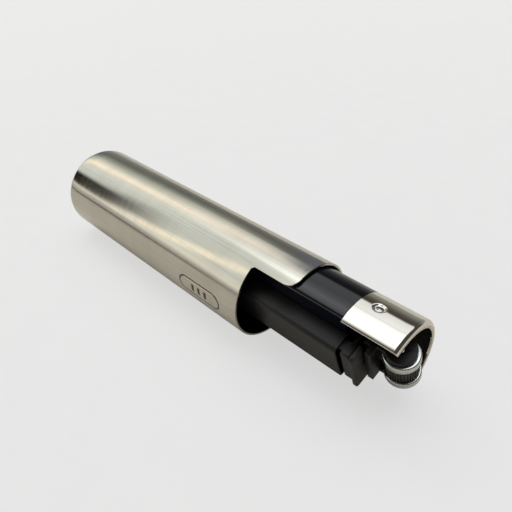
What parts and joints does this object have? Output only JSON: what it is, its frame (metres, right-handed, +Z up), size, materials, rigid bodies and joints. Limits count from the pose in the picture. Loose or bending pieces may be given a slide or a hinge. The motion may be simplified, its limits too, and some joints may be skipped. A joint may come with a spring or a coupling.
{
  "type": "pocket gas lighter",
  "caption": "Cylindrical flint-wheel gas lighter lying on its side, with its black body drawn part of the way out of a notched metal sleeve.",
  "frame": {"origin": "middle of the lighter's length, on the surface that its sleeve lies on, under the sleeve's axis", "axes": "+X along the lighter from the closed end of the sleeve to the flame end, +Z up, the button side towards -Y and turned 20 degrees down"},
  "size_m": [0.0806, 0.0174, 0.0175],
  "materials": {
    "brushed_sleeve": "satin brushed nickel",
    "tank_plastic": "glossy blue-black moulding",
    "brass": "turned",
    "seal_rubber": "matte",
    "white_plastic": "natural",
    "spring_steel": "drawn wire",
    "polished_hood": "mirror polished nickel",
    "matte_plastic": "fine matte moulding",
    "flint_alloy": "dark matte",
    "hardened_steel": "dark hardened steel, straight knurl",
    "plated_ring": "bright zinc plate"
  },
  "bodies": {
    "sleeve": {"sleeve": "brushed_sleeve"},
    "core": {"tank": "tank_plastic", "base_plug": "tank_plastic", "refill_body": "brass", "refill_seal": "seal_rubber", "refill_spring": "spring_steel", "wick_tube": "white_plastic", "filter_disc": "white_plastic", "burner_body": "brass", "burner_seal": "seal_rubber", "burner_spring": "spring_steel", "hood": "polished_hood", "rail": "matte_plastic"},
    "filler": {"refill_stem": "white_plastic"},
    "nozzle": {"burner_nozzle": "brass"},
    "button": {"gas_button": "matte_plastic"},
    "lever": {"rocker": "matte_plastic"},
    "flint_unit": {"flint_holder": "matte_plastic", "spring_plug": "brass", "flint_spring": "spring_steel", "axle": "plated_ring"},
    "flint_slug": {"flint": "flint_alloy"},
    "wheel": {"spark_wheel": "hardened_steel", "thumb_ring_upper": "plated_ring", "thumb_ring_lower": "plated_ring"}
  },
  "joints": [
    {"name": "body_slide", "type": "slide", "parent": "sleeve", "child": "core", "axis": [1, 0, 0], "range_m": [-0.00825, 0.0535]},
    {"name": "flint_unit_slide", "type": "slide", "parent": "core", "child": "flint_unit", "axis": [1, 0, 0], "range_m": [0, 0.042]},
    {"name": "wheel_spin", "type": "hinge", "parent": "flint_unit", "child": "wheel", "pos_m": [0.0376, 0.0008, 0.00904], "axis": [0, -0.342, 0.9397], "continuous": true},
    {"name": "flint_feed", "type": "slide", "parent": "flint_unit", "child": "flint_slug", "axis": [1, 0, 0], "range_m": [-0.0015, 0], "stiffness_N_per_m": 200, "springref_m": 0.004, "deforming": ["flint_spring"]},
    {"name": "button_press", "type": "slide", "parent": "core", "child": "button", "axis": [-1, 0, 0], "range_m": [0, 0.001], "stiffness_N_per_m": 300, "springref_m": -0.001},
    {"name": "lever_tilt", "type": "hinge", "parent": "core", "child": "lever", "pos_m": [0.03145, 0.00094, 0.00909], "axis": [0, 0.342, -0.9397], "range_deg": [0, 15]},
    {"name": "nozzle_lift", "type": "slide", "parent": "core", "child": "nozzle", "axis": [1, 0, 0], "range_m": [0, 0.00115], "deforming": ["burner_spring"]},
    {"name": "filler_press", "type": "slide", "parent": "core", "child": "filler", "axis": [1, 0, 0], "range_m": [0, 0.0008], "stiffness_N_per_m": 200, "springref_m": -0.001, "deforming": ["refill_spring"]}
  ],
  "couplings": [
    {"joint": "lever_tilt", "follows": "button_press", "rad_per_m": 244.35},
    {"joint": "nozzle_lift", "follows": "button_press", "ratio": 1.1}
  ]
}
